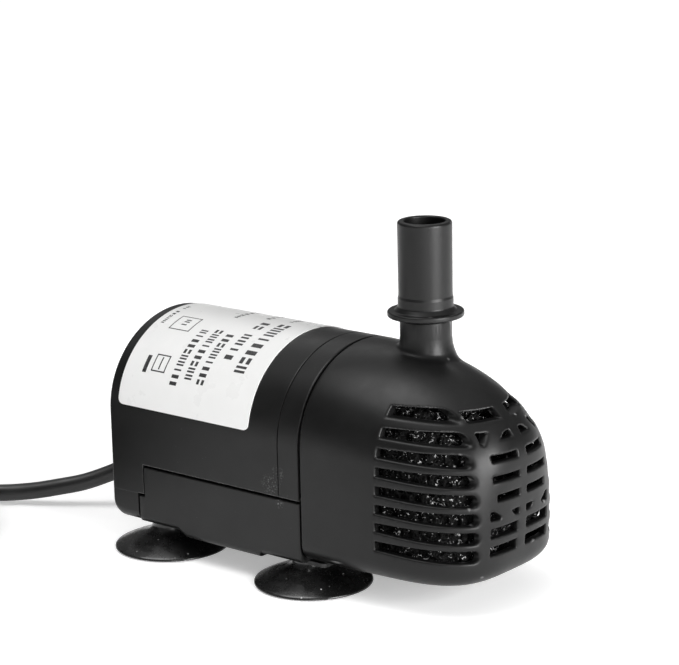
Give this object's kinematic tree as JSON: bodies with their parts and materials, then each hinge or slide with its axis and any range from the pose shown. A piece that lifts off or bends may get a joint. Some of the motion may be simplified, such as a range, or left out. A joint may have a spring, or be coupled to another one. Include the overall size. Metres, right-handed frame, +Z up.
{
  "type": "submersible fountain pump",
  "caption": "Small submersible water pump: arch-shaped motor housing, slotted strainer nose with foam, upright outlet nozzle, clip-on base on suction cups and a coiled power lead.",
  "frame": {"origin": "centre of the footprint of the pump (without its lead) on the surface it stands on", "axes": "+Z up, +X along the motor axis from the motor towards the strainer nose, +Y to the left of the nose"},
  "size_m": [0.1757, 0.1087, 0.0764],
  "materials": {
    "shell": "satin moulded ABS, charcoal",
    "cover": "satin moulded ABS, near black",
    "rubber": "glossy soft rubber",
    "foam": "open-cell reticulated filter foam",
    "label": "slightly glossy sticker",
    "steel": "plain steel",
    "copper": "enamelled copper wire",
    "ceramic": "ground ceramic",
    "magnet": "sintered ferrite",
    "board": "glass-epoxy circuit board",
    "epoxy": "black potting resin",
    "nylon": "natural nylon",
    "lead": "satin PVC jacket"
  },
  "bodies": {
    "housing": {"motor_housing": "shell", "front_collar": "shell", "thrust_washer_front": "rubber", "ceramic_shaft": "ceramic", "thrust_washer_rear": "rubber", "shaft_seat_rear": "rubber", "rotor_can": "shell", "can_seal": "rubber", "can_screw_1": "steel", "can_screw_2": "steel", "can_screw_3": "steel", "can_screw_4": "steel", "stator_core": "steel", "stator_coil_1": "copper", "stator_coil_2": "copper", "stator_coil_3": "copper", "stator_coil_4": "copper", "stator_coil_5": "copper", "stator_coil_6": "copper", "stator_insulator_front": "nylon", "stator_insulator_rear": "nylon", "potting_ring": "epoxy", "driver_board": "board", "driver_chip": "epoxy", "hall_sensor": "epoxy", "board_capacitor": "steel", "label": "label", "strain_relief": "lead", "power_lead": "lead", "lead_coil": "lead", "lead_tail": "lead", "plug_boot": "lead", "plug_body": "lead", "plug_barrel": "steel", "lead_tie": "lead"},
    "rotor": {"impeller": "nylon", "rotor_sleeve": "nylon", "rotor_magnet": "magnet", "bush_front": "ceramic", "bush_rear": "ceramic"},
    "strainer": {"strainer_cover": "cover", "foam_filter": "foam", "volute_casing": "shell", "outlet_seal": "rubber"},
    "nozzle": {"outlet_nozzle": "cover"},
    "base": {"base_tray": "shell"},
    "cup_rear_left": {"suction_cup_rear_left": "rubber"},
    "cup_rear_right": {"suction_cup_rear_right": "rubber"},
    "cup_front_left": {"suction_cup_front_left": "rubber"},
    "cup_front_right": {"suction_cup_front_right": "rubber"}
  },
  "joints": [
    {"name": "rotor_spin", "type": "hinge", "parent": "housing", "child": "rotor", "pos_m": [0.00739, 0, 0.0292], "axis": [1, 0, 0], "continuous": true},
    {"name": "strainer_pull", "type": "slide", "parent": "housing", "child": "strainer", "axis": [1, 0, 0], "range_m": [0, 0.03]},
    {"name": "nozzle_pull", "type": "slide", "parent": "strainer", "child": "nozzle", "axis": [0, 0, 1], "range_m": [0, 0.012]},
    {"name": "base_unclip", "type": "slide", "parent": "housing", "child": "base", "axis": [0, 0, -1], "range_m": [0, 0.015]},
    {"name": "cup_rear_left_turn", "type": "hinge", "parent": "base", "child": "cup_rear_left", "pos_m": [-0.03596, -0.01553, 0], "axis": [0, 0, 1], "continuous": true},
    {"name": "cup_rear_right_turn", "type": "hinge", "parent": "base", "child": "cup_rear_right", "pos_m": [-0.03596, 0.01553, 0], "axis": [0, 0, 1], "continuous": true},
    {"name": "cup_front_left_turn", "type": "hinge", "parent": "base", "child": "cup_front_left", "pos_m": [0.00507, -0.01553, 0], "axis": [0, 0, 1], "continuous": true},
    {"name": "cup_front_right_turn", "type": "hinge", "parent": "base", "child": "cup_front_right", "pos_m": [0.00507, 0.01553, 0], "axis": [0, 0, 1], "continuous": true}
  ]
}
